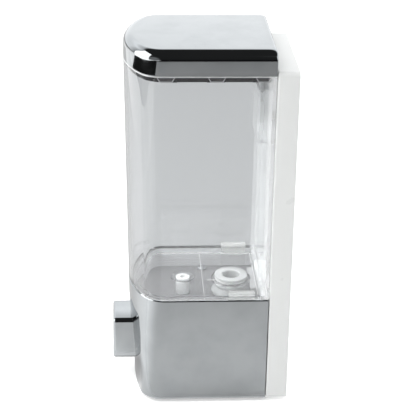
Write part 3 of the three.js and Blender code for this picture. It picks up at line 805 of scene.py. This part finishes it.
def mirror_card(name, corners, lift=1 * MM):
    """A card on the floor that only mirrors see, for painted reflections of the lit and unlit
    floor; returns its shader for colouring.
    """
    mesh = bpy.data.meshes.new(name)
    mesh.from_pydata([(x, y, BASE_Z + lift) for x, y in corners], [], [tuple(range(len(corners)))])
    card = add_object(name, mesh)
    mat, tree, shader = material(name, (0.01, 0.01, 0.01), Roughness=1.0, Specular_IOR_Level=0.0)
    mesh.materials.append(mat)
    seen_only_by(card, ("glossy",))
    return tree, shader


def card_ramp(tree, value, stops):
    """A grey ramp over value; stops are (value, level) pairs in rising order."""
    node = tree.nodes.new("ShaderNodeValToRGB")
    ramp = node.color_ramp
    low, high = stops[0][0], stops[-1][0]
    while len(ramp.elements) < len(stops):
        ramp.elements.new(0.5)
    for element, (at, level) in zip(ramp.elements, stops):
        element.position = (at - low) / (high - low)
        element.color = (level, level, level, 1)
    tree.links.new(ranged(tree, value, low, high, 0, 1), node.inputs["Fac"])
    return node.outputs["Color"]


def glow_around(tree, shader, degrees):
    """Makes a card glow by the bearing from the unit's front corner, painted light on the floor,
    and less close to the nose, a painted contact shadow; degrees are (bearing, level) pairs."""
    coords, mapping = tree.nodes.new("ShaderNodeTexCoord"), tree.nodes.new("ShaderNodeMapping")
    mapping.inputs["Location"].default_value = (-21.6 * MM, 73.6 * MM, 0)
    around = tree.nodes.new("ShaderNodeTexGradient")
    around.gradient_type = "RADIAL"
    tree.links.new(coords.outputs["Object"], mapping.inputs["Vector"])
    tree.links.new(mapping.outputs["Vector"], around.inputs["Vector"])
    peak = 2.0
    stops = [(a / 360 + 0.5, level / peak) for a, level in degrees]
    tree.links.new(card_ramp(tree, around.outputs["Fac"], stops), shader.inputs["Emission Color"])
    from_nose = tree.nodes.new("ShaderNodeVectorMath")
    from_nose.operation = "DISTANCE"
    from_nose.inputs[1].default_value = (5 * MM, -86 * MM, BASE_Z + 1 * MM)
    tree.links.new(coords.outputs["Object"], from_nose.inputs[0])
    # Dimmer close to the nose: a painted contact shadow.
    tree.links.new(ranged(tree, from_nose.outputs["Value"], 12 * MM, 28 * MM, 0.55 * peak, peak),
                   shader.inputs["Emission Strength"])


def make_cards():
    """What the plating and the clear wall mirror: cards painted with the light on a table top,
    brightest at the front and darker towards the right side, with painted shade close to the
    unit's nose, a black band of painted shade past its front edge and a glowing band beyond,
    a painted reflection of a softbox."""
    edge, bright, end, back = -0.52, -0.38, -0.78, 3
    near, far, strip = 0.036, 1.0, 0.28
    over = 1.5 * MM
    # Black card: painted shade, the unlit floor past the table's front edge as mirrors see it.
    mirror_card("painted_shade_front", [(-0.36, end), (1.2, end), (1.2, -0.36), (0.5, -0.36), (0.3, edge),
                               (-0.36, edge)], over)
    # Glowing card: a painted reflection of a softbox beyond the black band.
    shader = mirror_card("card_beyond", [(-0.68, -1.19), (0.98, -1.19), (0.62, end),
                                         (-0.4, end)], over)[1]
    glow(shader, 3.2)

    # Darker and glowing less towards the right: painted light and shade on the table top.
    tree, shader = mirror_card("card_side", [(near, bright), (REACH, bright), (REACH, back),
                                             (near, back)])
    stops = ((near, 0.88), (0.1, 0.74), (0.16, 0.6), (0.4, 0.42), (0.74, 0.36), (0.82, 0.01),
             (far, 0.01))
    tree.links.new(card_ramp(tree, object_axes(tree)["X"], stops), shader.inputs["Base Color"])
    glow_around(tree, shader, ((-180, 0.6), (-90, 0.6), (-72, 0.56), (-56, 0.34), (-42, 0.14),
                               (-28, 0), (180, 0)))

    # Glow by bearing: painted light on the table top, brightest in front.
    tree, shader = mirror_card("card_left", [(-REACH, bright), (near, bright), (near, back),
                                             (-REACH, back)])
    glow_around(tree, shader, ((-180, 0.75), (-160, 0.8), (-145, 0.98), (-135, 1.2),
                               (-125, 1.52), (-115, 1.72), (-100, 1.85), (-85, 1.85),
                               (-70, 1.65), (0, 1.1), (180, 0.75)))

    # Evenly glowing strip: a painted reflection, a bright band in the plating and the clear wall.
    shader = mirror_card("card_strip", [(-REACH, edge), (strip, edge), (strip, bright),
                                        (-REACH, bright)])[1]
    glow(shader, 1.65)


def make_camera():
    """The photograph's viewpoint: from the right side, a little above, with a long lens."""
    place = (0.71654, -0.09114, 0.31982)
    yaw, pitch, roll = 0.0671, 0.4128, 0.0199    # radians
    forward = Vector((-math.cos(yaw) * math.cos(pitch), math.sin(yaw) * math.cos(pitch),
                      -math.sin(pitch)))
    right = forward.cross(Vector((0, 0, 1))).normalized()
    up = right.cross(forward)
    turned_right = right * math.cos(roll) + up * math.sin(roll)
    turned_up = up * math.cos(roll) - right * math.sin(roll)
    data = bpy.data.cameras.new("camera")
    data.sensor_width = 36
    data.lens = 124
    camera = add_object("camera", data)
    turn = Matrix((turned_right, turned_up, -forward)).transposed().to_4x4()
    camera.matrix_world = Matrix.Translation(place) @ turn
    bpy.context.scene.camera = camera


make_floor()
backdrop("studio_backdrop", [(0.9, -1 * MM), (4.2, 0), (4.7, 0.15), (5, 0.6), (5, 5)], 1.0,
         ("camera",))
backdrop("studio_back_grey", [(5.5, -0.1), (5.5, 5)], 0.5, ("transmission",))
studio_world()
softbox("overhead", (0.05, -0.15, 1.6), (0.05, -0.15, 0), (2.4, 2.4), 46, in_mirrors=False)
softbox("fill", (1.4, -0.3, 0.75), (0, -0.05, 0), (1.0, 1.0), 8, in_mirrors=False)
softbox("front_side", (0.0, -1.2, 0.655), (0.0, 0, 0.655), (1.36, 1.49), 20.1)
softbox("rear", (-0.4, 1.5, 0.8), (0, 0, 0), (1.4, 1.2), 9, in_mirrors=False)
make_cards()
make_camera()
bpy.context.scene.view_settings.view_transform = "Standard"
